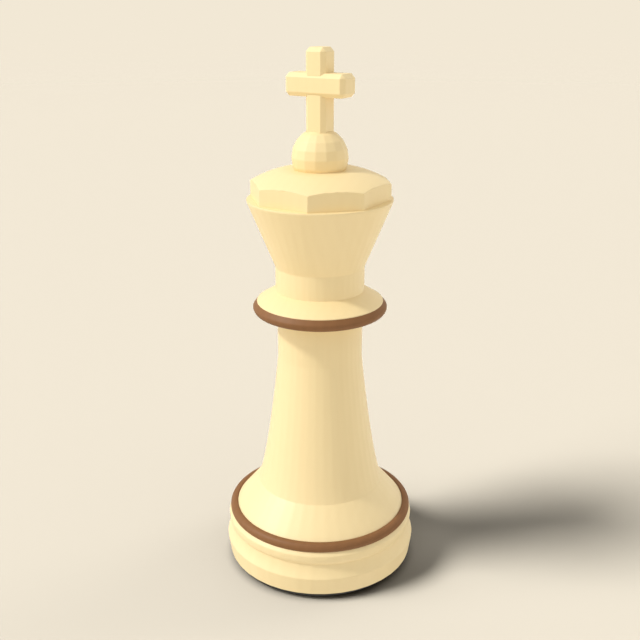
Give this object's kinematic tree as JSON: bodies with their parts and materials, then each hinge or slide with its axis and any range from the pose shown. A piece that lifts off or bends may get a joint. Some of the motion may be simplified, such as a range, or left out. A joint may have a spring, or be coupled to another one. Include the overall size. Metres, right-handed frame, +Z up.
{
  "type": "chess king",
  "caption": "Free-standing turned boxwood chess king with dark wood rings, an octagonal domed crown, a faceted ball and a chamfered cross, on a weighted, felted base.",
  "frame": {"origin": "middle of the felt's underside, on the turning axis, at the height of the board", "axes": "+Z is up along the turning axis, X runs along the cross bar, and the front, where the bar is let into the post, faces -Y"},
  "size_m": [0.0362, 0.0362, 0.0954],
  "materials": {
    "pale_boxwood": "satin lacquer",
    "dark_walnut": "satin lacquer",
    "dark_felt": "felt",
    "steel": "turned, hidden inside the base"
  },
  "bodies": {
    "root": {"felt_pad": "dark_felt", "base": "pale_boxwood", "base_weight": "steel", "weight_plug": "pale_boxwood", "base_ring": "dark_walnut", "shoulder": "pale_boxwood", "stem": "pale_boxwood", "collar": "pale_boxwood", "collar_ring": "dark_walnut", "crown": "pale_boxwood", "crown_cap": "pale_boxwood", "finial_ball": "pale_boxwood", "finial_dowel": "pale_boxwood", "cross_post": "pale_boxwood", "cross_bar": "pale_boxwood"}
  },
  "joints": []
}
